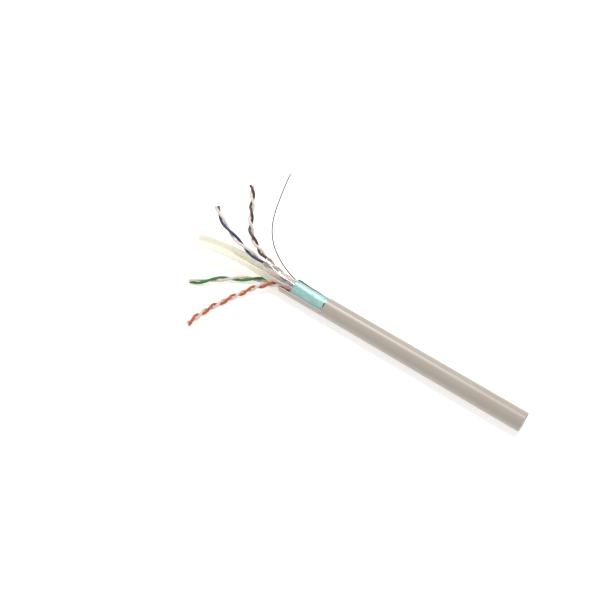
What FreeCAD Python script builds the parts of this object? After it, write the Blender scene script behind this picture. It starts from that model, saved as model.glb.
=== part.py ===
"""A prepared end of screened four-pair data cable: jacket cut back to a trough, foil screen, clear
film wrap, cross filler, drain wire, and four twisted pairs fanned out with their ends cut square.

Millimetres, +Z up. The origin is on the cable's axis at the jacket's stripped shoulder. The jacketed
cable runs along +X to a square cut, the stripped end points along -X, and the cable lies on a table.
Angles round the cable are degrees from straight up, turning towards +Y.
"""

import math
import os

import FreeCAD
import Part
import Sketcher

from FreeCAD import Placement, Rotation, Vector

SIZES = {
    # jacket
    "jacket_wall": 0.47,
    "jacket_length": 84.0,
    "trough_length": 20.0,
    "trough_back_length": 16.0,
    "window_front": -69.0,
    "window_opening": 164.0,
    "score_width": 0.6,
    "score_depth": 0.2,
    # foil screen and clear film
    "foil_thickness": 0.06,
    "foil_bare_length": 15.0,
    "foil_lap": 45.0,
    "foil_lap_start": 11.0,
    "film_thickness": 0.05,
    "film_slit": 17.0,
    "wrap_gap": 0.02,
    # filler
    "web_thickness": 0.34,
    "web_reach": 2.95,
    "filler_free_twist": 0.8,
    "filler_slant": 1.8,
    # insulated wires
    "insulation_diameter": 1.14,
    "conductor_diameter": 0.57,
    "bore_gap": 0.005,
    "strand_gap": 0.02,
    "pair_gap": 0.02,
    "fan_slack": 0.05,
    "blue_lay": 18.6,
    "orange_lay": 8.3,
    "green_lay": 17.2,
    "brown_lay": 10.8,
    "core_lay": 110.0,
    "core_turn": 15.0,
    # drain wire
    "drain_diameter": 0.5,
}

POINTS_PER_LAY = 10
END_RUN = 0.5
DRAIN_STEP = 4.0
FILLER_STEP = 4.0
FILM_STEP = 4.0
FILM_ARCS = 8
FILLER_CORE_RUN = 5.0
FILLER_TWIST_FROM = 14.0
FAN_SLACK_RUN = 10.0
ARC_SHARE = 0.45
ROUGH_RADIUS = 3.0
WEDGE_REACH = 15.0
FOIL_STEP_ANGLE = 2.0

# Where each pair sits in the core, the lay of its two strands, its strands' turn at the cut tip, and
# the free run: points that its curve leans towards, from the mouth of the foil to the tip.
PAIRS = {
    "blue": (0, "blue_lay", 104.0, [
        (-17.3, 0.3, 1.9), (-39.4, -0.2, 6), (-47.8, -0.2, 9.6), (-59.2, 8.6, 10.4),
    ]),
    "orange": (-90, "orange_lay", 234.0, [
        (-28, -2.2, -0.7), (-25.8, -2.1, 0.1), (-39.5, -26.5, -5.8), (-37, -23, -1), (-39.5, -35.5, -2.5),
    ]),
    "green": (-180, "green_lay", 160.0, [
        (-26.8, 0.8, -2.2), (-21.7, 1.7, -4.5), (-46.5, -11, 0), (-43, -15, -3), (-52, -19.5, -2.5),
    ]),
    "brown": (90, "brown_lay", 306.0, [
        (-16.5, 1.9, -0.3), (-52.9, 6, 1.9), (-39.4, 8.6, 6.6), (-55.4, 26.4, 9),
    ]),
}
FILLER_RUN = [(-18.1, 0, 0), (-38, 0.5, 1.4), (-48, -2, 4), (-59.5, -5, 3.5)]
DRAIN_RUN = [(-17, 2.6, 1.4), (-41.4, 4.4, 10.6), (-35, 17.5, 11), (-40.5, 25, 15), (-42, 35, 17)]

# The film's free flap, from the foil's mouth out. Each row is a station: how far it is past the mouth,
# its arc's centre to the back and up, how far its radius has opened from the core's, and the turns at
# which its back and front edges lie.
FLAP = [
    (0.2, 0.0, 0.0, 0.0, None, -60),
    (1.0, 0.0, 0.04, 0.02, 56.5, -60),
    (2.0, 0.0, 0.13, 0.06, 52, -60),
    (3.0, 0.0, 0.32, 0.09, 50, -60),
    (4.0, 0.0, 0.4, 0.17, 50, -60),
    (5.0, 0.0, 0.45, 0.29, 55, -61),
    (7.0, 0.2, 0.45, 0.72, 60, -62),
    (9.0, 0.4, 0.25, 1.27, 60, -62),
    (11.0, 0.8, -0.4, 2.37, 54, -50),
    (13.0, 1.2, -1.4, 3.82, 50, -35),
    (15.0, 1.4, -2.4, 5.27, 46, -18),
]


def fill_sheet(doc):
    """The driving sizes, one to a row: its name, and its value under an alias."""
    sheet = doc.addObject("Spreadsheet::Sheet", "Sizes")
    for row, (alias, value) in enumerate(SIZES.items(), 1):
        sheet.set(f"A{row}", alias)
        sheet.set(f"B{row}", str(value))
        sheet.setAlias(f"B{row}", alias)
    doc.recompute()
    return {alias: float(sheet.get(alias)) for alias in SIZES}


# The radii of the core, from the inside out, as formulas on the sheet.
STRAND_OUT = f"(Sizes.insulation_diameter + Sizes.strand_gap) / 2 / cos({180 / POINTS_PER_LAY})"
PAIR = f"({STRAND_OUT} + Sizes.insulation_diameter / 2)"
PAIR_PLACE = f"(sqrt(2) * (Sizes.web_thickness / 2 + Sizes.pair_gap + {PAIR}))"
FILM_IN = f"({PAIR_PLACE} + {PAIR} + Sizes.wrap_gap)"
FILM_OUT = f"({FILM_IN} + Sizes.film_thickness)"
FOIL_IN = f"({FILM_OUT} + Sizes.wrap_gap)"
FOIL_OUT = f"({FOIL_IN} + Sizes.foil_thickness)"
LAP_IN = f"({FOIL_OUT} + Sizes.wrap_gap / 2)"
LAP_OUT = f"({LAP_IN} + Sizes.foil_thickness)"
BORE = f"({LAP_OUT} + Sizes.wrap_gap)"
JACKET_OUT = f"({BORE} + Sizes.jacket_wall)"


def core_radii(size):
    """The same radii as numbers, for the pieces whose shapes are worked out in code."""
    strand_out = (size["insulation_diameter"] + size["strand_gap"]) / 2 / math.cos(math.pi / POINTS_PER_LAY)
    pair = strand_out + size["insulation_diameter"] / 2
    pair_place = math.sqrt(2) * (size["web_thickness"] / 2 + size["pair_gap"] + pair)
    film_in = pair_place + pair + size["wrap_gap"]
    foil_in = film_in + size["film_thickness"] + size["wrap_gap"]
    drain_place = foil_in - size["wrap_gap"] - size["drain_diameter"] / 2
    beside_web = size["web_thickness"] / 2 + size["pair_gap"] + size["drain_diameter"] / 2
    return {
        "strand_out": strand_out,
        "pair_place": pair_place,
        "film_in": film_in,
        "foil_in": foil_in,
        "drain_place": drain_place,
        "drain_turn": math.degrees(math.asin(beside_web / drain_place)),
    }


class Route:
    """A centreline: a long left-hand helix round the cable's axis from the far cut to the foil's
    mouth, then a free curve that leans towards the given points."""

    SPACING = 0.1

    def __init__(self, size, radius, turn, free_run):
        self.size = size
        self.radius = radius
        self.turn = turn
        self.mouth = -size["foil_bare_length"]
        self.free_run = free_run
        core = [self.in_core(x) for x in self.steps(size["jacket_length"], self.mouth)]
        last = core[-1]
        free = [self.lean([last] + [Vector(*p) for p in free_run], t) for t in self.steps(0.0, 1.0, 500)]
        self.points = core + free[1:]
        self.lengths = [0.0]
        for a, b in zip(self.points, self.points[1:]):
            self.lengths.append(self.lengths[-1] + (b - a).Length)
        self.to_mouth = self.lengths[len(core) - 1]
        self.whole = self.lengths[-1]

    def steps(self, start, end, count=None):
        count = count or round(abs(end - start) / self.SPACING)
        return [start + (end - start) * i / count for i in range(count + 1)]

    def in_core(self, x):
        turn = math.radians(self.turn + 360 * (x - self.mouth) / self.size["core_lay"])
        return Vector(x, self.radius * math.sin(turn), self.radius * math.cos(turn))

    def lean(self, points, t):
        """A Bezier curve's point at t."""
        while len(points) > 1:
            points = [a * (1 - t) + b * t for a, b in zip(points, points[1:])]
        return points[0]

    def at(self, length):
        """The point this far along, and the direction there."""
        length = min(max(length, 0.0), self.whole)
        low, high = 0, len(self.lengths) - 1
        while high - low > 1:
            middle = (low + high) // 2
            if self.lengths[middle] <= length:
                low = middle
            else:
                high = middle
        a, b = self.points[low], self.points[high]
        share = (length - self.lengths[low]) / (self.lengths[high] - self.lengths[low])
        return a + (b - a) * share, (b - a).normalize()

    def beside(self, length, turn, reach, run=None):
        """A point off the centreline, turned from straight up towards the right of travel. run is
        where along the route the point lies, when that differs from where the turn is taken."""
        point, along = self.at(length if run is None else run)
        up = (Vector(0, 0, 1) - along * along.z).normalize()
        side = along.cross(up)
        angle = math.radians(turn)
        return point + up * (reach * math.cos(angle)) + side * (reach * math.sin(angle))


def tube_path(points):
    """Straight runs joined by tangent arcs, each as large as its two runs allow. Returns the wire, its
    length and the smallest radius."""
    runs = [b - a for a, b in zip(points, points[1:])]
    edges, start, least = [], points[0], math.inf
    for corner, before, after in zip(points[1:], runs, runs[1:]):
        half_turn = before.getAngle(after) / 2
        back = ARC_SHARE * min(before.Length, after.Length)
        radius = back / math.tan(half_turn)
        inward = (after.normalize() - before.normalize()).normalize()
        enter = corner - before * back
        leave = corner + after * back
        middle = corner + inward * (radius / math.cos(half_turn) - radius)
        edges.append(Part.LineSegment(start, enter).toShape())
        edges.append(Part.Arc(enter, middle, leave).toShape())
        start = leave
        least = min(least, radius)
    edges.append(Part.LineSegment(start, points[-1]).toShape())
    wire = Part.Wire(edges)
    return wire, wire.Length, least


def strand_points(route, lay, tip_turn, slack, strand_out):
    """The corners of one strand's path: it winds left-handed about its pair's centreline. Its last
    run follows that centreline and its short first run the cable's axis, so both ends are cut square."""
    count = math.floor(route.whole / lay * POINTS_PER_LAY)
    step = route.whole / count
    corners = [(i * step, i * step) for i in range(1, count)] + [((count - 1) * step, route.whole)]
    if step > 2 * END_RUN:
        corners.insert(0, (END_RUN, END_RUN))
    points = []
    for wound, run in corners:
        turn = tip_turn + 360 * (route.whole - wound) / lay
        opened = min(max((wound - route.to_mouth) / FAN_SLACK_RUN, 0.0), 1.0)
        points.append(route.beside(wound, turn, strand_out + slack * opened, run))
    return [Vector(route.points[0].x, points[0].y, points[0].z)] + points


def disc(path, diameter, bore=0.0):
    """A round face, or a ring with a bore, square across the start of a path."""
    first = path.Edges[0]
    start = first.valueAt(first.FirstParameter)
    along = first.tangentAt(first.FirstParameter)
    outer = Part.Wire(Part.Circle(start, along, diameter / 2).toShape())
    if not bore:
        return Part.Face(outer)
    inner = Part.Wire(Part.Circle(start, along, bore / 2).toShape())
    return Part.Face(outer).cut(Part.Face(inner)).Faces[0]


def add_shape(doc, label, shape):
    piece = doc.addObject("Part::Feature", label)
    piece.Label = label
    piece.Shape = shape
    piece.Placement = Placement()
    return piece


def print_run(piece, area, length, least):
    """How long a piece's path is, and how near its volume is to its section times that length."""
    share = piece.Shape.Volume / (area * length)
    print(f"{piece.Label}: length {length:.1f}, smallest arc {least:.2f}, volume/section {share:.4f}")


def add_pair(doc, size, radii, colour, pieces):
    """A coloured wire and its white mate: insulation and solid copper conductor of each."""
    turn, lay, tip_turn, free_run = PAIRS[colour]
    route = Route(size, radii["pair_place"], size["core_turn"] + turn, free_run)
    for mate, half_turn in ((colour, 0), (f"{colour}_white", 180)):
        points = strand_points(route, size[lay], tip_turn + half_turn, size["fan_slack"], radii["strand_out"])
        path, length, least = tube_path(points)
        bore = size["conductor_diameter"] + 2 * size["bore_gap"]
        ring = disc(path, size["insulation_diameter"], bore)
        core = disc(path, size["conductor_diameter"])
        for kind, section in (("insulation", ring), ("conductor", core)):
            piece = add_shape(doc, f"{kind}_{mate}", path.makePipe(section))
            print_run(piece, section.Area, length, least)
            pieces.append(piece)


def cross_section(size, point, along, turn, slant=0.0):
    """The filler's outline across its route: four webs at right angles. With a slant, two of its
    sides end further back along the route than the other two."""
    up = (Vector(0, 0, 1) - along * along.z).normalize()
    side = along.cross(up)
    half, reach = size["web_thickness"] / 2, size["web_reach"]
    corners = []
    for quarter in range(4):
        angle = math.radians(turn + 90 * quarter)
        out = up * math.cos(angle) + side * math.sin(angle)
        across = up * -math.sin(angle) + side * math.cos(angle)
        corners += [point + out * reach - across * half, point + out * reach + across * half]
        corners.append(point + out * half + across * half)
    middle = math.radians(turn + 45)
    shorter = (up * math.cos(middle) + side * math.sin(middle)) * math.sqrt(2) / reach
    corners = [corner - along * (slant / 2 * (1 + (corner - point).dot(shorter))) for corner in corners]
    return Part.makePolygon(corners + corners[:1])


def add_filler(doc, size, pieces):
    """The cross filler keeps the pairs apart. It turns with the core, then more slowly near its free
    end, which is cut at a slant."""
    route = Route(size, 0.0, 0.0, FILLER_RUN)
    mouth_turn = size["core_turn"] + 45
    count = round(route.whole / FILLER_STEP)
    sections = []
    for i in range(count + 1):
        length = route.whole * i / count
        past = length - route.to_mouth
        wound = min(past, FILLER_CORE_RUN) * 360 / size["core_lay"]
        wound += max(past - FILLER_TWIST_FROM, 0.0) * size["filler_free_twist"]
        point, along = route.at(length)
        slant = size["filler_slant"] if i == count else 0.0
        sections.append(cross_section(size, point, along, mouth_turn - wound, slant))
    pieces.append(add_shape(doc, "cross_filler", Part.makeLoft(sections, True, False)))


def add_drain(doc, size, radii, pieces):
    """A bare tinned wire in the slit of the film, against the foil, and free beyond its mouth."""
    turn = size["core_turn"] + 45 + radii["drain_turn"]
    route = Route(size, radii["drain_place"], turn, DRAIN_RUN)
    count = round(route.whole / DRAIN_STEP)
    points = [route.at(route.whole * i / count)[0] for i in range(count + 1)]
    path, length, least = tube_path(points)
    section = disc(path, size["drain_diameter"])
    drain = add_shape(doc, "drain_wire", path.makePipe(section))
    print_run(drain, section.Area, length, least)
    pieces.append(drain)


def film_section(x, centre, inner, thickness, back, front):
    """The film's outline square across the axis: an open ring between two turns round its centre,
    in several arcs, which mesh more evenly than one."""
    def ring_point(radius, share):
        angle = math.radians(back + (front - back) * share)
        return Vector(x, centre[0] + radius * math.sin(angle), centre[1] + radius * math.cos(angle))

    def arcs(radius, shares):
        return [
            Part.Arc(*(ring_point(radius, t) for t in (a, (a + b) / 2, b))).toShape()
            for a, b in zip(shares, shares[1:])
        ]

    outer = inner + thickness
    shares = [i / FILM_ARCS for i in range(FILM_ARCS + 1)]
    front_edge = Part.LineSegment(ring_point(inner, 1), ring_point(outer, 1)).toShape()
    back_edge = Part.LineSegment(ring_point(outer, 0), ring_point(inner, 0)).toShape()
    return Part.Wire(arcs(inner, shares) + [front_edge] + arcs(outer, shares[::-1]) + [back_edge])


def add_film(doc, size, radii, pieces):
    """The clear film is wrapped round the pairs and turns with them. Its slit leaves room for the
    drain wire, and its free end opens out as a flap over the pairs."""
    inner, thickness = radii["film_in"], size["film_thickness"]
    mouth = -size["foil_bare_length"]
    edge = size["core_turn"] + 45 + radii["drain_turn"] - size["film_slit"] / 2
    end = mouth - FLAP[0][0]
    count = round((size["jacket_length"] - end) / FILM_STEP)
    wrapped = []
    for i in range(count + 1):
        x = size["jacket_length"] + (end - size["jacket_length"]) * i / count
        back = edge + 360 * (x - end) / size["core_lay"]
        wrapped.append(film_section(x, (0.0, 0.0), inner, thickness, back, back - 360 + size["film_slit"]))
    flap = []
    for past, over, up, opened, back, front in FLAP:
        back = edge if back is None else back
        flap.append(film_section(mouth - past, (over, up), inner + opened, thickness, back, front))
    film = Part.makeLoft(wrapped, True, False).fuse(Part.makeLoft(flap, True, True))
    if len(film.Solids) != 1:
        raise ValueError("the film's flap came away from it")
    pieces.append(add_shape(doc, "clear_wrap", film.Solids[0]))


def origin_plane(body, role):
    return next(p for p in body.Origin.OriginFeatures if p.Role == role)


def add_sketch(body, name, role, offset):
    """A sketch on one of the body's origin planes, moved along that plane's normal by a formula."""
    sketch = body.newObject("Sketcher::SketchObject", name)
    sketch.AttachmentSupport = [(origin_plane(body, role), "")]
    sketch.MapMode = "FlatFace"
    sketch.setExpression(".AttachmentOffset.Base.z", offset)
    return sketch


def add_circle(sketch, name, formula):
    """A circle about the sketch's origin, with its radius bound to a formula."""
    index = sketch.addGeometry(Part.Circle(Vector(0, 0, 0), Vector(0, 0, 1), ROUGH_RADIUS), False)
    sketch.addConstraint(Sketcher.Constraint("Coincident", index, 3, -1, 1))
    number = sketch.addConstraint(Sketcher.Constraint("Radius", index, ROUGH_RADIUS))
    sketch.renameConstraint(number, name)
    sketch.setExpression(f"Constraints.{name}", formula)


def add_polygon(sketch, corners):
    """A closed outline. Each corner is a name, a rough place, and formulas for its two distances from
    the sketch's origin; a corner with no formulas is at the origin."""
    count = len(corners)
    for i in range(count):
        here, there = corners[i][1], corners[(i + 1) % count][1]
        sketch.addGeometry(Part.LineSegment(Vector(*here, 0), Vector(*there, 0)), False)
    for i in range(count):
        sketch.addConstraint(Sketcher.Constraint("Coincident", i, 2, (i + 1) % count, 1))
    for i, (name, place, across, up) in enumerate(corners):
        if across is None:
            sketch.addConstraint(Sketcher.Constraint("Coincident", i, 1, -1, 1))
            continue
        for way, value, formula in (("DistanceX", place[0], across), ("DistanceY", place[1], up)):
            number = sketch.addConstraint(Sketcher.Constraint(way, -1, 1, i, 1, value))
            constraint = f"{name}{way[-1]}"
            sketch.renameConstraint(number, constraint)
            sketch.setExpression(f"Constraints.{constraint}", formula)


def add_jacket(doc, size, pieces):
    """The jacket: a round tube whose stripped end is cut back to an open trough, by a window along
    its front and top and a slanting cut across its end. The knife's score runs on round the trough's
    wall at the shoulder."""
    body = doc.addObject("PartDesign::Body", "outer_jacket")
    body.Label = "outer_jacket"
    ring = add_sketch(body, "jacket_ring", "YZ_Plane", "-Sizes.trough_length")
    add_circle(ring, "bore", BORE)
    add_circle(ring, "outside", JACKET_OUT)
    tube = body.newObject("PartDesign::Pad", "jacket_tube")
    tube.Profile = ring
    tube.setExpression("Length", "Sizes.jacket_length + Sizes.trough_length")
    doc.recompute()
    whole = body.Shape.Volume

    window = add_sketch(body, "window_outline", "YZ_Plane", "-Sizes.trough_length")
    corners = [("apex", (0.0, 0.0), None, None)]
    for name, share in (("front", 0.0), ("top", 0.5), ("back", 1.0)):
        turn = f"(Sizes.window_front + {share} * Sizes.window_opening)"
        rough = math.radians(size["window_front"] + share * size["window_opening"])
        place = (WEDGE_REACH * math.sin(rough), WEDGE_REACH * math.cos(rough))
        corners.append((name, place, f"{WEDGE_REACH} * sin({turn})", f"{WEDGE_REACH} * cos({turn})"))
    add_polygon(window, corners)
    cut = body.newObject("PartDesign::Pocket", "window_cut")
    cut.Profile = window
    cut.Reversed = True
    cut.setExpression("Length", "Sizes.trough_length")
    doc.recompute()
    windowed = body.Shape.Volume

    slant = add_sketch(body, "slant_outline", "XY_Plane", "0")
    add_polygon(slant, [
        ("tip", (-20.0, -4.0), "-Sizes.trough_length", f"-{JACKET_OUT}"),
        ("beyond", (-25.0, -4.0), "-2 * Sizes.trough_length", f"-{JACKET_OUT}"),
        ("behind", (-25.0, 4.0), "-2 * Sizes.trough_length", JACKET_OUT),
        ("back", (-16.0, 4.0), "-Sizes.trough_back_length", JACKET_OUT),
    ])
    trim = body.newObject("PartDesign::Pocket", "slant_cut")
    trim.Profile = slant
    trim.Type = 1
    trim.Midplane = True
    doc.recompute()
    slanted = body.Shape.Volume

    score = add_sketch(body, "score_outline", "XY_Plane", "0")
    clear = f"({JACKET_OUT} + Sizes.score_width)"
    add_polygon(score, [
        ("lip", (-0.6, 3.8), "-Sizes.score_width", JACKET_OUT),
        ("outside", (-0.6, 4.4), "-Sizes.score_width", clear),
        ("above", (0.0, 4.4), "0", clear),
        ("shoulder", (0.0, 3.8), "0", JACKET_OUT),
        ("floor", (-0.3, 3.6), "-Sizes.score_width / 2", f"({JACKET_OUT} - Sizes.score_depth)"),
    ])
    groove = body.newObject("PartDesign::Groove", "knife_score")
    groove.Profile = score
    groove.ReferenceAxis = (next(a for a in body.Origin.OriginFeatures if a.Role == "X_Axis"), [""])
    groove.Angle = 360
    doc.recompute()
    scored = body.Shape.Volume
    print(f"outer_jacket: {whole:.1f}, then {windowed:.1f}, {slanted:.1f} and {scored:.2f} left by its cuts")
    if not whole > windowed > slanted > scored:
        raise ValueError("a cut of the jacket removed nothing")
    pieces.append(body)


def add_foil(doc, size, pieces):
    """The foil screen: a tape folded lengthwise into a round tube, with a lapped seam."""
    def cylinder(name, radius, angle=None):
        piece = doc.addObject("Part::Cylinder", name)
        piece.setExpression("Radius", radius)
        piece.setExpression("Height", "Sizes.jacket_length + Sizes.foil_bare_length")
        roll = 0.0
        if angle:
            piece.setExpression("Angle", angle)
            roll = size["foil_lap_start"]
        turned = Rotation(Vector(-1, 0, 0), roll).multiply(Rotation(Vector(0, 1, 0), -90))
        piece.Placement = Placement(Vector(0, 0, 0), turned)
        piece.setExpression(".Placement.Base.x", "Sizes.jacket_length")
        return piece

    def cut(name, base, tool):
        piece = doc.addObject("Part::Cut", name)
        piece.Base = base
        piece.Tool = tool
        return piece

    tube = cut("foil_tube", cylinder("foil_outside", FOIL_OUT), cylinder("foil_inside", FOIL_IN))
    flap = cut(
        "foil_flap",
        cylinder("flap_outside", LAP_OUT, "Sizes.foil_lap"),
        cylinder("flap_inside", LAP_IN),
    )
    step = cut(
        "foil_step",
        cylinder("step_outside", LAP_OUT, str(FOIL_STEP_ANGLE)),
        cylinder("step_inside", FOIL_IN),
    )
    foil = doc.addObject("Part::MultiFuse", "screen_foil")
    foil.Label = "screen_foil"
    foil.Shapes = [tube, flap, step]
    foil.Refine = True
    pieces.append(foil)


def check(doc, pieces):
    """Every object of the document computed, and every piece a whole, valid solid."""
    doc.recompute()
    for item in doc.Objects:
        if any(state in ("Invalid", "Error") for state in item.State):
            raise ValueError(f"{item.Name} failed: {item.State}")
    for piece in pieces:
        shape = piece.Shape
        if shape.isNull() or not shape.isValid() or len(shape.Solids) < 1:
            raise ValueError(f"{piece.Label} isn't a valid solid")


def main():
    doc = FreeCAD.newDocument("prepared_cable_end")
    size = fill_sheet(doc)
    radii = core_radii(size)
    pieces = []
    add_jacket(doc, size, pieces)
    add_foil(doc, size, pieces)
    add_film(doc, size, radii, pieces)
    add_filler(doc, size, pieces)
    add_drain(doc, size, radii, pieces)
    for colour in PAIRS:
        add_pair(doc, size, radii, colour, pieces)
    check(doc, pieces)
    os.makedirs("parts", exist_ok=True)
    for piece in pieces:
        piece.Shape.exportStep(f"parts/{piece.Label}.step")
        shape = piece.Shape
        low = shape.BoundBox.ZMin
        print(f"{piece.Label}: volume {shape.Volume:.2f}, low {low:.2f}, solids {len(shape.Solids)}")


main()
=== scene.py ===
import math

import bpy
import numpy as np
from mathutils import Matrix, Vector, noise


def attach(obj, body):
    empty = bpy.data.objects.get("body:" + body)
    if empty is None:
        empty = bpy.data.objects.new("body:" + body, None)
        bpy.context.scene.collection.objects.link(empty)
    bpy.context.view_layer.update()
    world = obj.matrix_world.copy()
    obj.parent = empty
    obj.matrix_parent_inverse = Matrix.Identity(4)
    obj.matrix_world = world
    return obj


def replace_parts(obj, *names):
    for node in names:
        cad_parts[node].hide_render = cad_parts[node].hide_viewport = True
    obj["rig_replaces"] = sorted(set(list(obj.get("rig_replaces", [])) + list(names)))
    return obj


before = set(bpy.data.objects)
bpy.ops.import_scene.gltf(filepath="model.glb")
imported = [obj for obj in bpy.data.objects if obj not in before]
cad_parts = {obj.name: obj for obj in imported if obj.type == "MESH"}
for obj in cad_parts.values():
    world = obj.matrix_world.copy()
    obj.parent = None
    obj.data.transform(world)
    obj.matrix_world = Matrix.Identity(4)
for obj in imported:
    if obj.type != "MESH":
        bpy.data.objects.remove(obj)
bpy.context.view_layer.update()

# A prepared end of screened four-pair data cable. Shapes are worked out in millimetres and turned into
# metres as each mesh is made. The origin is on the cable's axis at the jacket's stripped shoulder, +X
# runs along the jacket to its far cut, and the stripped end points along -X. Angles round the cable are
# degrees from straight up, turning towards +Y.

MM = 0.001

# The jacket: its whole round tube, the open trough in front of it, and the score at its shoulder.
JACKET_LENGTH = 84.0
JACKET_WALL = 0.47
BORE = 3.357
TROUGH_FRONT = -20.0
TROUGH_BACK = -16.0
TROUGH_MIDDLE = (TROUGH_FRONT + TROUGH_BACK) / 2
WINDOW = (-69.0, 95.0)
SCORE_WIDTH = 0.6
SCORE_DEPTH = 0.2

# The core: how it turns as a whole, and where its foil stops.
MOUTH = -15.0
CORE_LAY = 110.0
CORE_TURN = 15.0

# The foil: a tube with a lap between two turns. It flares towards one turn at its mouth, and was
# pressed in about another where the knife came round.
FOIL_IN = 3.207
FOIL_WALL = 0.06
FOIL_LAP = (11.0, 56.0)
LAP_GAP = 0.012
FLARE = 0.62
FLARE_TURN = 64.0
KNIFE_TURN = 312.0
KNIFE_PRESS = 0.2

# The clear film: the turn of its back edge at its end in the foil, and how many degrees wide the slit
# is that the drain wire lies in.
FILM_IN = 3.137
FILM_WALL = 0.05
FILM_EDGE = 60.12
FILM_SLIT = 17.0

# The bare drain wire.
DRAIN = 0.5
DRAIN_PLACE = 2.937
DRAIN_TURN = 68.62

# The cross filler, which stops turning with the core a little past the mouth.
WEB = 0.34
WEB_REACH = 2.95
FILLER_CORE_RUN = 5.0
FILLER_TWIST_FROM = 14.0
FILLER_TWIST = 0.8
FILLER_SLANT = 1.8

# The insulated wires: their sizes, how far each is from its pair's middle and each pair from the core's,
# and how much looser the two lie once they are free.
INSULATION = 1.14
CONDUCTOR = 0.57
STRAND_PLACE = 0.58
PAIR_PLACE = 1.937
FAN_SLACK = 0.05
FAN_SLACK_RUN = 10.0

# Each pair's turn in the core, the lay of its two wires, their turn at the tip, and the points that
# its free run leans towards, from the foil's mouth to the tip.
PAIRS = {
    "blue": (0, 18.6, 104.0, [
        (-17.3, 0.3, 1.9), (-39.4, -0.2, 6), (-47.8, -0.2, 9.6), (-59.2, 8.6, 10.4),
    ]),
    "orange": (-90, 8.3, 234.0, [
        (-28, -2.2, -0.7), (-25.8, -2.1, 0.1), (-39.5, -26.5, -5.8), (-37, -23, -1), (-39.5, -35.5, -2.5),
    ]),
    "green": (-180, 17.2, 160.0, [
        (-26.8, 0.8, -2.2), (-21.7, 1.7, -4.5), (-46.5, -11, 0), (-43, -15, -3), (-52, -19.5, -2.5),
    ]),
    "brown": (90, 10.8, 306.0, [
        (-16.5, 1.9, -0.3), (-52.9, 6, 1.9), (-39.4, 8.6, 6.6), (-55.4, 26.4, 9),
    ]),
}
FILLER_RUN = [(-18.1, 0, 0), (-38, 0.5, 1.4), (-48, -2, 4), (-59.5, -5, 3.5)]
DRAIN_RUN = [(-17, 2.6, 1.4), (-41.4, 4.4, 10.6), (-35, 17.5, 11), (-40.5, 25, 15), (-42, 35, 17)]

# The film's free flap: how far past the foil's mouth, the arc's centre to the back and up, how far its
# radius has opened, and the turns of its back and front edges.
FLAP = np.array([
    (0.2, 0.0, 0.0, 0.0, FILM_EDGE, -60),
    (1.0, 0.0, 0.04, 0.02, 56.5, -60),
    (2.0, 0.0, 0.13, 0.06, 52, -60),
    (3.0, 0.0, 0.32, 0.09, 50, -60),
    (4.0, 0.0, 0.4, 0.17, 50, -60),
    (5.0, 0.0, 0.45, 0.29, 55, -61),
    (7.0, 0.2, 0.45, 0.72, 60, -62),
    (9.0, 0.4, 0.25, 1.27, 60, -62),
    (11.0, 0.8, -0.4, 2.37, 54, -50),
    (13.0, 1.2, -1.4, 3.82, 50, -35),
    (15.0, 1.4, -2.4, 5.27, 46, -18),
])


# ---- camera, floor and light ----

CAMERA_PLACE = (107.74, -167.70, 289.19)
CAMERA_AZIMUTH = math.radians(35.62)
CAMERA_ELEVATION = math.radians(55.0)


def aim(thing, back):
    """Turns a camera or a light to look away from the direction back."""
    thing.rotation_mode = "QUATERNION"
    thing.rotation_quaternion = (-Vector(back)).to_track_quat("-Z", "Y")


def add_camera():
    lens = bpy.data.cameras.new("camera")
    lens.lens = 55.3
    lens.sensor_width = 36.0
    lens.clip_start = 0.01
    lens.clip_end = 20.0
    camera = bpy.data.objects.new("camera", lens)
    bpy.context.scene.collection.objects.link(camera)
    camera.location = Vector(CAMERA_PLACE) * MM
    level = math.cos(CAMERA_ELEVATION)
    aim(camera, (
        math.sin(CAMERA_AZIMUTH) * level, -math.cos(CAMERA_AZIMUTH) * level, math.sin(CAMERA_ELEVATION),
    ))
    bpy.context.scene.camera = camera


def add_softbox(name, toward, distance, size, watts, colour):
    """A soft light of this width and height in metres, aimed at the cable from the given direction."""
    lamp = bpy.data.lights.new(name, "AREA")
    lamp.shape = "RECTANGLE"
    lamp.size, lamp.size_y = size
    lamp.energy = watts
    lamp.color = colour
    softbox = bpy.data.objects.new(name, lamp)
    bpy.context.scene.collection.objects.link(softbox)
    back = Vector(toward).normalized()
    softbox.location = Vector((0.01, 0, 0)) + back * distance
    aim(softbox, back)


# ---- shader writing ----

class Value:
    """A number or colour that varies over a surface. Sums written with it become the material's nodes."""

    def __init__(self, finish, socket):
        self.finish = finish
        self.socket = socket

    def sum(self, operation, *numbers):
        return self.finish.node("ShaderNodeMath", {"operation": operation}, dict(enumerate(numbers)))

    def __add__(self, other):
        return self.sum("ADD", self, other)

    def __sub__(self, other):
        return self.sum("SUBTRACT", self, other)

    def __rsub__(self, other):
        return self.sum("SUBTRACT", other, self)

    def __mul__(self, other):
        return self.sum("MULTIPLY", self, other)

    def __pow__(self, other):
        return self.sum("POWER", self, other)

    __radd__ = __add__
    __rmul__ = __mul__

    def clipped(self):
        return self.sum("MINIMUM", self.sum("MAXIMUM", self, 0.0), 1.0)

    def ridge(self):
        """1 along the middle of a noise's range, falling to either side, as along a crease."""
        return 1 - self.sum("ABSOLUTE", self * 2 - 1)

    def between(self, low, high):
        """0 below low, 1 above high, and smooth in between."""
        return self.finish.node(
            "ShaderNodeMapRange",
            {"interpolation_type": "SMOOTHSTEP"},
            {"Value": self, "From Min": low, "From Max": high},
        )


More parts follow.
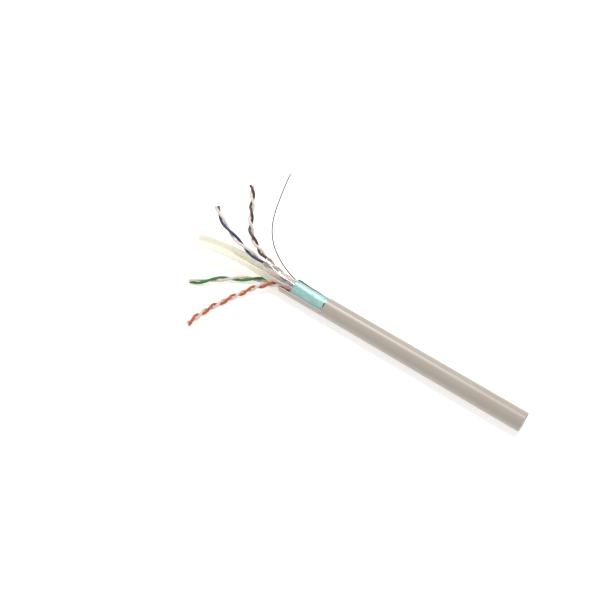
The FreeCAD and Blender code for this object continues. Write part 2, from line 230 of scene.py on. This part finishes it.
class Finish:
    """A material, with the nodes that its pattern is written in."""

    def __init__(self, name):
        self.material = bpy.data.materials.new(name)
        self.material.use_nodes = True
        self.material.node_tree.nodes.clear()
        self.place = self.node("ShaderNodeTexCoord", output="Object")

    def node(self, kind, settings=None, inputs=None, output=0):
        made = self.material.node_tree.nodes.new(kind)
        for name, setting in (settings or {}).items():
            setattr(made, name, setting)
        for name, given in (inputs or {}).items():
            if isinstance(given, Value):
                self.material.node_tree.links.new(given.socket, made.inputs[name])
            else:
                made.inputs[name].default_value = given
        return Value(self, made.outputs[output]) if made.outputs else None

    def noise(self, size, stretch=(1, 1, 1), detail=3.0, rough=0.5, offset=0.0):
        """Soft noise whose blotches are about size millimetres across, times the stretch."""
        at = self.node("ShaderNodeMapping", inputs={
            "Vector": self.place,
            "Scale": [1 / (size * MM * s) for s in stretch],
            "Location": (offset, offset, offset),
        })
        inputs = {"Vector": at, "Scale": 1.0, "Detail": detail, "Roughness": rough}
        return self.node("ShaderNodeTexNoise", inputs=inputs)

    def axes(self):
        """How far along the cable, to the back and up each point is, in metres."""
        return [
            self.node("ShaderNodeSeparateXYZ", inputs={0: self.place}, output=axis) for axis in range(3)
        ]

    def tint(self, share, first, second):
        """The first colour where share is 0, the second where it is 1."""
        return self.node("ShaderNodeMix", {"data_type": "RGBA"}, {0: share, 6: first, 7: second}, 2)

    def bump(self, height, depth):
        """Relief of height times depth millimetres."""
        inputs = {"Height": height, "Distance": depth * MM, "Strength": 1.0}
        return self.node("ShaderNodeBump", inputs=inputs, output="Normal")

    def shine(self, **sockets):
        """The surface itself: a Principled shader, then the material's output."""
        named = {name.replace("_", " "): given for name, given in sockets.items()}
        shader = self.node("ShaderNodeBsdfPrincipled", inputs=named)
        self.node("ShaderNodeOutputMaterial", inputs={"Surface": shader})
        return self.material


def rgb(red, green, blue):
    """A linear colour from one on a 0 to 255 display scale."""
    def straight(c):
        c /= 255
        return c / 12.92 if c <= 0.04045 else ((c + 0.055) / 1.055) ** 2.4
    return (straight(red), straight(green), straight(blue), 1.0)


def jacket_pvc():
    """Warm grey PVC, drawn smooth: faint lines along it, a soft mottle and a few handling scuffs."""
    finish = Finish("jacket_pvc")
    lines = finish.noise(0.35, (90, 1, 1), 2.0)
    mottle = finish.noise(6.0, (3, 1, 1), 4.0)
    grain = finish.noise(0.12, detail=2.0)
    scuff = finish.noise(1.6, (7, 1, 1), 6.0, 0.65).between(0.6, 0.72)
    colour = finish.tint(mottle, rgb(171, 161, 151), rgb(181, 172, 162))
    colour = finish.tint(scuff * 0.3, colour, rgb(192, 186, 178))
    return finish.shine(
        Base_Color=colour,
        Roughness=(0.29 + 0.06 * mottle + 0.14 * scuff + 0.04 * lines).clipped(),
        IOR=1.5,
        Normal=finish.bump(lines * 0.5 + grain * 0.35 + scuff * 0.15, 0.012),
    )


def jacket_cut():
    """The jacket's wall where the knife went through: paler, dull, with the knife's drag lines."""
    finish = Finish("jacket_cut")
    drag = finish.noise(0.1, (1, 1, 6), 3.0)
    mottle = finish.noise(0.8, detail=3.0)
    return finish.shine(
        Base_Color=finish.tint(mottle, rgb(196, 189, 182), rgb(214, 208, 202)),
        Roughness=0.55 + 0.15 * drag,
        IOR=1.5,
        Normal=finish.bump(drag, 0.03),
    )


def between_turns(turn, rise, fall):
    """1 between two turns round the cable, easing up over the first span of degrees and down over
    the second."""
    up, down = ([math.radians(edge) for edge in span] for span in (rise, fall))
    return turn.between(*up) * (1 - turn.between(*down))


def screen_tape(name, face, shade, metal):
    """Aluminium and polyester tape: a glossy, slightly metallic face, dented and finely creased. A dark
    band of painted shade runs round its upper back over the lap, and a short painted shadow marks the gap
    at the shoulder."""
    finish = Finish(name)
    dimples = finish.noise(3.6, (1.6, 1, 1), 2.0, 0.45)
    creases = finish.noise(3.0, (1.8, 1, 1), 2.0, 0.5, 3.0).ridge().between(0.9, 1.0)
    fine = finish.noise(0.5, (4, 1, 1), 2.0, 0.5)
    along, back, up = finish.axes()
    turn = back.sum("ARCTAN2", back, up)
    # painted shade: a dark band round the tape's upper back, where it turns out of sight, halved towards
    # the shoulder
    painted_shade_band = between_turns(turn, (30, 38), (66, 80)) * (1 - 0.5 * along.between(-9 * MM, 0.0))
    # painted shadow of the gap between the foil and the jacket's cut edge, on the foil's front at the
    # shoulder
    knife = along.between(-0.8 * MM, -0.6 * MM) * between_turns(turn, (-52, -44), (-16, 0))
    colour = finish.tint(dimples.between(0.35, 0.68), face, shade)
    colour = finish.tint(creases * 0.25, colour, rgb(206, 238, 232))
    # the painted shade band and the painted gap shadow darken the tape's colour here
    colour = finish.tint((painted_shade_band + knife).clipped(), colour, rgb(38, 66, 64))
    return finish.shine(
        Base_Color=colour,
        Metallic=metal,
        Roughness=(0.3 + 0.1 * fine + 0.1 * creases + 0.4 * painted_shade_band).clipped(),
        Coat_Weight=(0.25 - 0.25 * painted_shade_band).clipped(),
        Coat_Roughness=0.22,
        Normal=finish.bump(dimples * 0.8 + creases * 0.15 + fine * 0.04, 0.14),
    )


def clear_film():
    """Thin clear polyester: a faint milky veil, whiter along its creases, that mirrors more the more
    it turns away."""
    finish = Finish("clear_film")
    creases = finish.noise(2.6, (2.2, 1, 1), 2.0, 0.5).ridge().between(0.9, 1.0)
    cloud = finish.noise(3.0, (1.8, 1, 1), 2.0)
    fine = finish.noise(0.6, (2, 1, 1), 2.0)
    relief = finish.bump(cloud * 0.85 + creases * 0.12 + fine * 0.03, 0.03)
    away = finish.node("ShaderNodeLayerWeight", inputs={"Blend": 0.5, "Normal": relief}, output="Facing")
    milky = (0.05 + 0.06 * cloud + 0.2 * creases).clipped()
    mirrored = (0.05 + 0.6 * away ** 4).clipped()
    clear = finish.node("ShaderNodeBsdfTransparent", inputs={"Color": (0.985, 0.97, 0.97, 1.0)})
    veil = finish.node("ShaderNodeBsdfPrincipled", inputs={
        "Base Color": finish.tint(cloud, rgb(238, 222, 220), rgb(248, 240, 238)),
        "Roughness": (0.2 + 0.1 * fine).clipped(),
        "Normal": relief,
    })
    mirror = finish.node("ShaderNodeBsdfGlossy", inputs={
        "Color": (1.0, 1.0, 1.0, 1.0),
        "Roughness": 0.14,
        "Normal": relief,
    })
    misted = finish.node("ShaderNodeMixShader", inputs={0: milky, 1: clear, 2: veil})
    shown = finish.node("ShaderNodeMixShader", inputs={0: mirrored, 1: misted, 2: mirror})
    finish.node("ShaderNodeOutputMaterial", inputs={"Surface": shown})
    return finish.material


def filler_plastic():
    """Cream polyethylene, waxy and slightly see-through, with draw lines along the webs."""
    finish = Finish("filler_plastic")
    mottle = finish.noise(4.0, (2.5, 1, 1), 4.0)
    lines = finish.noise(0.3, (30, 1, 1), 2.0)
    return finish.shine(
        Base_Color=finish.tint(mottle, rgb(232, 225, 197), rgb(241, 235, 211)),
        Roughness=(0.38 + 0.12 * mottle + 0.06 * lines).clipped(),
        IOR=1.5,
        Subsurface_Weight=0.8,
        Subsurface_Radius=(1.0, 0.97, 0.88),
        Subsurface_Scale=3.0 * MM,
        Normal=finish.bump(lines, 0.012),
    )


def tinned_copper():
    """Tin plating over copper, dulled by handling, a little warm where the tin is thin."""
    finish = Finish("tinned_copper")
    wear = finish.noise(0.8, (3, 1, 1), 4.0, 0.6)
    drawn = finish.noise(0.08, (30, 1, 1), 2.0)
    return finish.shine(
        Base_Color=finish.tint(wear.between(0.4, 0.75), rgb(120, 110, 99), rgb(98, 82, 68)),
        Metallic=0.7,
        Roughness=(0.3 + 0.25 * wear + 0.1 * drawn).clipped(),
        Normal=finish.bump(drawn, 0.006),
    )


def insulation_plastic(name, deep, light):
    """Solid-coloured polyethylene drawn over a wire: satin, with faint pigment streaks along it."""
    finish = Finish(name)
    streak = finish.noise(0.5, (4, 1, 1), 3.0)
    mottle = finish.noise(2.5, detail=3.0)
    grain = finish.noise(0.1, detail=2.0)
    return finish.shine(
        Base_Color=finish.tint((streak * 0.6 + mottle * 0.4).between(0.3, 0.7), deep, light),
        Roughness=(0.26 + 0.14 * mottle + 0.06 * grain).clipped(),
        IOR=1.5,
        Subsurface_Weight=0.12,
        Subsurface_Radius=(1.0, 0.8, 0.7),
        Subsurface_Scale=0.2 * MM,
        Normal=finish.bump(streak * 0.6 + grain * 0.4, 0.008),
    )


def copper():
    """Solid copper wire: bright where it was cut, with the cutter's smear across the face."""
    finish = Finish("copper")
    smear = finish.noise(0.06, (1, 1, 5), 3.0)
    tone = finish.noise(0.4, detail=3.0)
    return finish.shine(
        Base_Color=finish.tint(tone, rgb(196, 118, 82), rgb(222, 150, 110)),
        Metallic=1.0,
        Roughness=(0.24 + 0.25 * smear).clipped(),
        Normal=finish.bump(smear, 0.008),
    )


def paper_floor():
    """White paper, lit so brightly that it glows a little."""
    finish = Finish("paper_floor")
    grain = finish.noise(0.5, detail=3.0)
    return finish.shine(
        Base_Color=(0.86, 0.86, 0.86, 1.0),
        Roughness=0.9,
        Specular_IOR_Level=0.1,
        Emission_Color=(1.0, 1.0, 1.0, 1.0),
        Emission_Strength=0.48,
        Normal=finish.bump(grain, 0.004),
    )


# ---- mesh making ----

def add_piece(name, points, faces, materials, nodes=(), parts=None, sharp=40.0):
    """A mesh piece from points in millimetres. parts gives each face's material number, and edges that
    fold by more than sharp degrees are shaded as edges. With nodes it stands for those of the model,
    and rides on its one body."""
    mesh = bpy.data.meshes.new(name)
    mesh.from_pydata((np.asarray(points) * MM).tolist(), [], faces)
    for material in materials:
        mesh.materials.append(material)
    if parts is not None:
        mesh.polygons.foreach_set("material_index", np.asarray(parts, dtype=np.int32))
    mesh.polygons.foreach_set("use_smooth", np.ones(len(faces), dtype=bool))
    mesh.set_sharp_from_angle(angle=math.radians(sharp))
    mesh.validate()
    piece = bpy.data.objects.new(name, mesh)
    bpy.context.scene.collection.objects.link(piece)
    if nodes:
        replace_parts(piece, *nodes)
        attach(piece, "root")
    return piece


def add_tube(name, rings, material, node, sharp):
    """A closed tube over rings of equal count, with a cap at each end."""
    rows, across = len(rings), len(rings[0])
    index = np.arange(rows * across).reshape(rows, across)
    a, b = index[:-1], index[1:]
    quads = np.stack([a, b, np.roll(b, -1, 1), np.roll(a, -1, 1)], -1).reshape(-1, 4)
    faces = quads.tolist() + [index[0].tolist(), index[-1][::-1].tolist()]
    add_piece(name, rings.reshape(-1, 3), faces, [material], [node], sharp=sharp)


def sheet_faces(kept, wrap):
    """Faces of a thin wall between two equal grids of points, outer then inner, over the cells that
    are kept. Every open border gets a wall, and those come last. Returns faces and the wall count."""
    rows, columns = kept.shape
    across = columns if wrap else columns + 1
    grid = np.arange((rows + 1) * across).reshape(rows + 1, across)
    inner = grid.size
    faces, walls = [], []
    for i, j in zip(*np.nonzero(kept)):
        k = (j + 1) % across
        a, b, c, d = (int(v) for v in (grid[i, j], grid[i + 1, j], grid[i + 1, k], grid[i, k]))
        faces += [(a, b, c, d), (inner + d, inner + c, inner + b, inner + a)]
        before = (j - 1) % columns if wrap else j - 1
        after = (j + 1) % columns if wrap else j + 1
        if before < 0 or not kept[i, before]:
            walls.append((b, a, inner + a, inner + b))
        if after >= columns or not kept[i, after]:
            walls.append((d, c, inner + c, inner + d))
        if i == 0 or not kept[i - 1, j]:
            walls.append((a, d, inner + d, inner + a))
        if i == rows - 1 or not kept[i + 1, j]:
            walls.append((c, b, inner + b, inner + c))
    return faces + walls, len(walls)


def round_cable(x, turns, radius):
    """Points at this far along the cable, at turns in degrees round it and at this radius."""
    x, turns, radius = np.broadcast_arrays(x, np.radians(turns), radius)
    return np.stack([x, radius * np.sin(turns), radius * np.cos(turns)], -1)


def dents(points, size, seed, lengthwise=1.0):
    """Smooth noise at each point, from -1 to 1, with features of about this size. A lengthwise rate
    under 1 makes them longer along the cable."""
    flat = (points * np.array([lengthwise, 1, 1])).reshape(-1, 3) / size
    shift = Vector((seed, seed, seed))
    return np.array([noise.noise(Vector(p) + shift) for p in flat]).reshape(points.shape[:-1])


def ramp(values, start, run):
    """0 up to start, then rising evenly to 1 over run."""
    return np.clip((values - start) / run, 0, 1)


def unit(vectors):
    return vectors / np.linalg.norm(vectors, axis=-1, keepdims=True)


def lean(points):
    """A Bezier curve over these points."""
    share = np.linspace(0, 1, 601)[:, None]
    level = [np.ones_like(share) * np.asarray(p, float) for p in points]
    while len(level) > 1:
        level = [a * (1 - share) + b * share for a, b in zip(level, level[1:])]
    return level[0]


class Route:
    """A centreline: a long left-hand helix round the cable's axis from the far cut to the foil's mouth,
    then a free curve that leans towards the given points. It is sampled evenly, step apart."""

    def __init__(self, radius, turn, free_run, step):
        x = np.linspace(JACKET_LENGTH, MOUTH, 991)
        core = round_cable(x, turn + 360 * (x - MOUTH) / CORE_LAY, radius)
        line = np.vstack([core, lean([core[-1], *free_run])[1:]])
        gone = np.concatenate([[0], np.cumsum(np.linalg.norm(np.diff(line, axis=0), axis=1))])
        self.to_mouth = gone[len(core) - 1]
        self.whole = gone[-1]
        self.gone = np.linspace(0, self.whole, round(self.whole / step) + 1)
        self.points = np.stack([np.interp(self.gone, gone, line[:, k]) for k in range(3)], -1)
        self.along, self.up, self.side = upright(self.points)

    def beside(self, turn, reach):
        """The line's points moved off it by reach, turned from straight up towards the right."""
        turn = np.radians(turn)[:, None]
        return self.points + (self.up * np.cos(turn) + self.side * np.sin(turn)) * reach[:, None]


def upright(points):
    """The direction of travel along a line of points, and the up and right directions across it."""
    along = unit(np.gradient(points, axis=0))
    up = unit(np.array([0, 0, 1.0]) - along * along[:, 2:])
    return along, up, np.cross(along, up)


def across_line(line, outline, turns=None):
    """Rings that carry a flat outline, of (side, up) points, along a line, each turned by its turn."""
    along, up, side = upright(line)
    turns = np.zeros(len(line)) if turns is None else np.radians(turns)
    c, s = np.cos(turns)[:, None], np.sin(turns)[:, None]
    out, over = up * c + side * s, side * c - up * s
    outline = np.asarray(outline)
    return line[:, None] + out[:, None] * outline[None, :, 1:] + over[:, None] * outline[None, :, :1]


def circle(radius, count):
    """The outline of a disc, as count points of (side, up)."""
    turns = np.arange(count) * 2 * math.pi / count
    return np.stack([radius * np.sin(turns), radius * np.cos(turns)], -1)


def shrink(ring, share, shift):
    """A ring drawn in towards its middle, and moved."""
    middle = ring.mean(0)
    return middle + (ring - middle) * share + shift


# ---- the cable's pieces ----

def jacket_line():
    """The cable's own line, from the trough's slanting end to the far cut, as its spline gives it."""
    curve = bpy.data.curves.new("jacket_line", "CURVE")
    curve.dimensions = "3D"
    spline = curve.splines.new("NURBS")
    stops = (TROUGH_MIDDLE, 12.0, 48.0, JACKET_LENGTH)
    spline.points.add(len(stops) - 1)
    for point, x in zip(spline.points, stops):
        point.co = (x * MM, 0, 0, 1)
    spline.order_u = 3
    spline.use_endpoint_u = True
    spline.resolution_u = 24
    line = bpy.data.objects.new("jacket_line", curve)
    bpy.context.scene.collection.objects.link(line)
    bpy.context.view_layer.update()
    mesh = bpy.data.meshes.new_from_object(line)
    points = [tuple(v.co) for v in mesh.vertices]
    bpy.data.objects.remove(line)
    bpy.data.meshes.remove(mesh)
    return points


def add_jacket(skin_finish, cut_finish):
    """A round tube, cut back at its stripped end to a trough with a hand-cut edge."""
    window = np.linspace(WINDOW[0], WINDOW[1], 43)
    wall = np.linspace(WINDOW[1], WINDOW[0] + 360, 79)
    turns = np.concatenate([window[:-1], wall[:-1]])
    score = np.array([-1.5, -1.3, -1, -0.75, -0.5, -0.25]) * SCORE_WIDTH
    whole = np.linspace(1.0, JACKET_LENGTH - 0.5, 84)
    whole = np.concatenate([[0.0, 0.12, 0.4], whole, [JACKET_LENGTH - 0.12]])
    tip = TROUGH_MIDDLE + (TROUGH_BACK - TROUGH_MIDDLE) * np.sin(np.radians(turns))
    trough = tip + (score[0] - tip) * np.linspace(0, 1, 37)[:-1, None]
    straight = np.concatenate([score, whole, [JACKET_LENGTH]])
    x = np.vstack([trough, straight[:, None] * np.ones_like(tip)])
    turn = np.ones_like(x) * turns
    # the knife wandered a little along both edges of the window
    free = ramp(-x, 0.0, 1.5)
    for edge, seed in ((WINDOW[0], 2.0), (WINDOW[1], 9.0)):
        near = np.exp(-(np.minimum((turn - edge) % 360, (edge - turn) % 360) / 6.0) ** 2)
        wander = 0.9 * np.sin(x * 0.7 + seed) + 0.5 * np.sin(x * 1.9 + seed * 2)
        turn = turn + free * near * wander
    keep = np.ones((len(x) - 1, len(turns)), bool)
    keep[:len(trough) + len(score), :len(window) - 1] = False
    notch = SCORE_DEPTH * np.clip(1 - np.abs(2 * x / SCORE_WIDTH + 1), 0, 1)
    outer = round_cable(x, turn, BORE + JACKET_WALL - notch)
    inner = round_cable(x, turn, BORE)
    faces, walls = sheet_faces(keep, True)
    parts = [0] * (len(faces) - walls) + [1] * walls
    points = np.concatenate([outer.reshape(-1, 3), inner.reshape(-1, 3)])
    finishes = [skin_finish, cut_finish]
    piece = add_piece("jacket", points, faces, finishes, ["outer_jacket"], parts, 50.0)
    bevel = piece.modifiers.new("knife_edge", "BEVEL")
    bevel.width = 0.05 * MM
    bevel.segments = 2
    bevel.limit_method = "ANGLE"
    bevel.angle_limit = math.radians(60)
    bevel.harden_normals = False
    return piece


def add_foil(face_finish, back_finish):
    """One tape folded lengthwise into a tube with a lap. Where it is bare it has opened a little
    towards its mouth, is dented, and its lap has lifted along its edge."""
    start, end = FOIL_LAP[0], FOIL_LAP[1] + 360
    lap_from = start + 359
    turns = np.concatenate([np.linspace(start + 2, lap_from, 171), np.linspace(lap_from + 1.5, end, 31)])
    x = np.concatenate([np.linspace(MOUTH, 1.0, 108), np.linspace(2.0, JACKET_LENGTH, 42)])
    x, turn = np.meshgrid(x, turns, indexing="ij")
    bare = ramp(-x, 0.2, 1.2)
    # the lap's outer layer steps over the inner one, and its edge has lifted where it is bare
    lap = ramp(turn, lap_from, 3.0)
    lift = (FOIL_WALL + LAP_GAP) * (3 - 2 * lap) * lap ** 2
    lift = lift + bare * 0.1 * ramp(turn, end - 14, 14) ** 2
    flared_side = np.clip(np.cos(np.radians(turn - FLARE_TURN)), 0, 1)
    opened = FLARE * ramp(-x, 0.0, -MOUTH) ** 1.15 * flared_side
    # dents and bulges, only where the jacket is open
    base = round_cable(x, turn, FOIL_IN)
    off_middle = np.abs((turn + 180 - sum(WINDOW) / 2) % 360 - 180)
    crumple = np.clip(dents(base, 1.6, 4.0, 0.5) + 0.2, 0, 1) * 0.09
    crumple = crumple - np.clip(dents(base, 1.9, 21.0, 0.6), 0, 1) * 0.08
    crumple = crumple * bare * ramp(88 - off_middle, 0, 14)
    # pressed in where the knife came round at the shoulder
    past_knife = (turn - start) % 360 - (KNIFE_TURN - start)
    knife = KNIFE_PRESS * np.exp(-past_knife ** 2 / 520.0 - ((x + 0.2) / 0.8) ** 2)
    radius = FOIL_IN + lift + opened + crumple - knife
    # the mouth's edge isn't quite square or even
    slanted = 0.3 * ramp(-x, 11.0, 4.0) * (1 - np.cos(np.radians(turn - 62)))
    ragged = np.where(x < MOUTH + 0.01, 0.1 * dents(base, 0.9, 7.0), 0)
    along = x + slanted + ragged
    outer = round_cable(along, turn, radius + FOIL_WALL)
    inner = round_cable(along, turn, radius)
    keep = np.ones((x.shape[0] - 1, x.shape[1] - 1), bool)
    faces, walls = sheet_faces(keep, False)
    cells = (len(faces) - walls) // 2
    parts = [0, 1] * cells + [1] * walls
    points = np.concatenate([outer.reshape(-1, 3), inner.reshape(-1, 3)])
    add_piece("foil", points, faces, [face_finish, back_finish], ["screen_foil"], parts)


def eased(past, column):
    """A flap column's value at each distance past the mouth, on a smooth curve through its rows."""
    knots, values = FLAP[:, 0], FLAP[:, column]
    slopes = np.gradient(values, knots)
    i = np.clip(np.searchsorted(knots, past) - 1, 0, len(knots) - 2)
    gap = knots[i + 1] - knots[i]
    t = (past - knots[i]) / gap
    return (
        values[i] * (1 + 2 * t) * (1 - t) ** 2 + values[i + 1] * (3 - 2 * t) * t ** 2
        + gap * slopes[i] * t * (1 - t) ** 2 + gap * slopes[i + 1] * t ** 2 * (t - 1)
    )


def add_film(finish):
    """The clear film: wrapped round the core with a slit for the drain wire, then a creased flap."""
    end, flap_length = MOUTH - FLAP[0, 0], FLAP[-1, 0]
    x = np.linspace(JACKET_LENGTH, end, 60)
    share = np.linspace(0, 1, 121)
    back = FILM_EDGE + 360 * (x - end) / CORE_LAY
    turn = back[:, None] - (360 - FILM_SLIT) * share
    walls = [round_cable(x[:, None], turn, radius) for radius in (FILM_IN + FILM_WALL, FILM_IN)]
    points = [wall.reshape(-1, 3) for wall in walls]
    faces, _ = sheet_faces(np.ones((len(x) - 1, len(share) - 1), bool), False)
    wrapped = 2 * turn.size
    # the flap
    past = np.linspace(FLAP[0, 0], flap_length, 90)
    over, up, opened, back, front = (eased(past, column)[:, None] for column in range(1, 6))
    share = np.linspace(0, 1, 97)
    turn = back + (front - back) * share
    free = ramp(past, 1.0, 6.0)[:, None] ** 1.5
    at = round_cable((MOUTH - past)[:, None], turn, FILM_IN + opened)
    crease = np.abs(dents(at, 3.0, 5.0, 0.3)) * 0.16 + np.abs(dents(at, 1.1, 8.0)) * 0.02
    radius = FILM_IN + opened + crease * free
    # its free edge is cut unevenly
    edge = ramp(past, flap_length - 1.2, 1.2)[:, None]
    along = (MOUTH - past)[:, None] + edge * (0.35 + 0.5 * dents(at * 0.5, 1.6, 3.0))
    for wall in (round_cable(along, turn, radius + FILM_WALL), round_cable(along, turn, radius)):
        points.append((wall + np.stack([0 * over, over, up], -1)).reshape(-1, 3))
    flap, _ = sheet_faces(np.ones((len(past) - 1, len(share) - 1), bool), False)
    faces = faces + [tuple(wrapped + v for v in face) for face in flap]
    add_piece("film", np.concatenate(points), faces, [finish], ["clear_wrap"])


def filler_outline():
    """Four webs at right angles, round at their tips and in the corners between them."""
    half, nose, fillet = WEB / 2, 0.1, 0.22
    outline = []
    for quarter in range(4):
        web = []
        for t in np.radians([60, 30, 0]):
            web.append((-half - fillet + fillet * math.cos(t), half + fillet - fillet * math.sin(t)))
        web += [(-half, up) for up in np.linspace(0.9, WEB_REACH - 0.5, 5)]
        for t in np.radians([0, 30, 60, 90]):
            web.append((-half + nose - nose * math.cos(t), WEB_REACH - nose + nose * math.sin(t)))
        web += [(-side, up) for side, up in web[::-1]][:-3]
        web.append((half, half + fillet))
        turn = math.radians(90 * quarter)
        c, s = math.cos(turn), math.sin(turn)
        outline += [(side * c + up * s, up * c - side * s) for side, up in web]
    return np.array(outline)


def add_filler(finish):
    """The cross filler turns with the core, then more slowly near its free end."""
    route = Route(0.0, 0.0, FILLER_RUN, 0.7)
    past = route.gone - route.to_mouth
    wound = np.minimum(past, FILLER_CORE_RUN) * 360 / CORE_LAY
    wound = wound + np.maximum(past - FILLER_TWIST_FROM, 0) * FILLER_TWIST
    turns = CORE_TURN + 45 - wound
    rings = across_line(route.points, filler_outline(), turns)
    # the free end is cut at a slant, eased in over its last few rings
    middle = math.radians(turns[-1] + 45)
    shorter = route.up[-1] * math.cos(middle) + route.side[-1] * math.sin(middle)
    shorter = shorter * math.sqrt(2) / WEB_REACH
    for ring, share in ((-1, 1.0), (-2, 0.8), (-3, 0.6), (-4, 0.4), (-5, 0.2)):
        back = FILLER_SLANT / 2 * (1 + (rings[ring] - route.points[ring]) @ shorter) * share
        rings[ring] -= back[:, None] * route.along[ring]
    add_tube("filler", rings, finish, "cross_filler", 35.0)


def add_drain(finish):
    """The bare drain wire, with the nip of the cutter at its free end."""
    route = Route(DRAIN_PLACE, DRAIN_TURN, DRAIN_RUN, 0.5)
    rings = across_line(route.points, circle(DRAIN / 2, 20))
    rings[-1] = shrink(rings[-1], 0.96, 0)
    add_tube("drain", rings, finish, "drain_wire", 50.0)


def cut_wire(route, strand, diameter, count, cut_end):
    """Rings along a wire of a pair, with both ends cut square across the pair. cut_end gives a cut
    end's rings, from the middle out, for its edge and the direction into the wire."""
    rings = across_line(strand, circle(diameter / 2, count))
    for end in (0, -1):
        out = route.along[end]
        rings[end] = rings[end] - ((rings[end] - strand[end]) @ out)[:, None] * out
    near = cut_end(rings[0], route.along[0])
    far = cut_end(rings[-1], -route.along[-1])
    return np.concatenate([np.array(near), rings[1:-1], np.array(far[::-1])])


def insulation_end(edge, inward):
    """A cut end with the copper's hole in its middle and a slightly rounded edge."""
    bore = (CONDUCTOR + 0.03) / INSULATION
    hole, rim = shrink(edge, bore, inward * 0.25), shrink(edge, bore, 0)
    return [hole, rim, shrink(edge, 0.93, 0), edge + inward * 0.04]


def copper_end(edge, inward):
    """A flat cut end with a slightly rounded edge."""
    return [shrink(edge, 0.88, 0), edge + inward * 0.03]


def add_pair(colour, finish, white, copper_finish):
    """A coloured wire and its white mate, wound left-handed about each other."""
    turn, lay, tip_turn, free_run = PAIRS[colour]
    route = Route(PAIR_PLACE, CORE_TURN + turn, free_run, 0.32)
    reach = STRAND_PLACE + FAN_SLACK * ramp(route.gone, route.to_mouth, FAN_SLACK_RUN)
    for mate, half_turn, material, slot in (
        (colour, 0, finish, f"{colour}_insulation"), (f"{colour}_white", 180, white, "white_insulation"),
    ):
        wound = tip_turn + half_turn + 360 * (route.whole - route.gone) / lay
        strand = route.beside(wound, reach)
        strand[0, 0] = JACKET_LENGTH
        tube = cut_wire(route, strand, INSULATION, 24, insulation_end)
        add_tube(f"wire_{mate}", tube, material, f"insulation_{mate}", 55.0)
        if len(strand) % 2 == 0:
            strand = np.vstack([strand, strand[-1:]])
        rod = cut_wire(route, strand[::2], CONDUCTOR, 20, copper_end)
        add_tube(f"copper_{mate}", rod, copper_finish, f"conductor_{mate}", 55.0)


def add_floor(finish):
    """A wide paper floor that the cable lies on."""
    low = -(BORE + JACKET_WALL)
    corners = [(-3000, -3000, low), (3000, -3000, low), (3000, 3000, low), (-3000, 3000, low)]
    floor = add_piece("floor", corners, [(0, 1, 2, 3)], [finish])


def main():
    scene = bpy.context.scene
    scene.view_settings.view_transform = "Standard"
    add_camera()
    cable = jacket_line()
    jacket = add_jacket(jacket_pvc(), jacket_cut())
    add_foil(
        screen_tape("tape_face", rgb(160, 197, 197), rgb(132, 188, 179), 0.1),
        screen_tape("tape_back", rgb(205, 208, 212), rgb(188, 192, 198), 1.0),
    )
    add_film(clear_film())
    add_filler(filler_plastic())
    add_drain(tinned_copper())
    white = insulation_plastic("white_insulation", rgb(208, 195, 188), rgb(226, 214, 207))
    colours = {
        "blue": insulation_plastic("blue_insulation", rgb(44, 45, 82), rgb(60, 61, 100)),
        "orange": insulation_plastic("orange_insulation", rgb(178, 84, 46), rgb(196, 104, 66)),
        "green": insulation_plastic("green_insulation", rgb(46, 112, 42), rgb(66, 134, 60)),
        "brown": insulation_plastic("brown_insulation", rgb(74, 42, 34), rgb(94, 58, 47)),
    }
    copper_finish = copper()
    for colour, finish in colours.items():
        add_pair(colour, finish, white, copper_finish)
    add_floor(paper_floor())

    world = bpy.data.worlds.new("studio")
    world.use_nodes = True
    world.node_tree.nodes["Background"].inputs["Color"].default_value = (1.0, 1.0, 1.0, 1.0)
    world.node_tree.nodes["Background"].inputs["Strength"].default_value = 0.5
    scene.world = world
    add_softbox("key", (-0.33, 0.37, 0.87), 0.7, (0.26, 0.18), 2.6, (1.0, 0.985, 0.965))
    add_softbox("top", (0.015, 0.377, 0.925), 0.7, (0.34, 0.12), 1.3, (1.0, 0.99, 0.975))
    add_softbox("fill", (0.6, -0.8, 0.7), 0.9, (0.6, 0.6), 0.6, (0.97, 0.985, 1.0))


main()
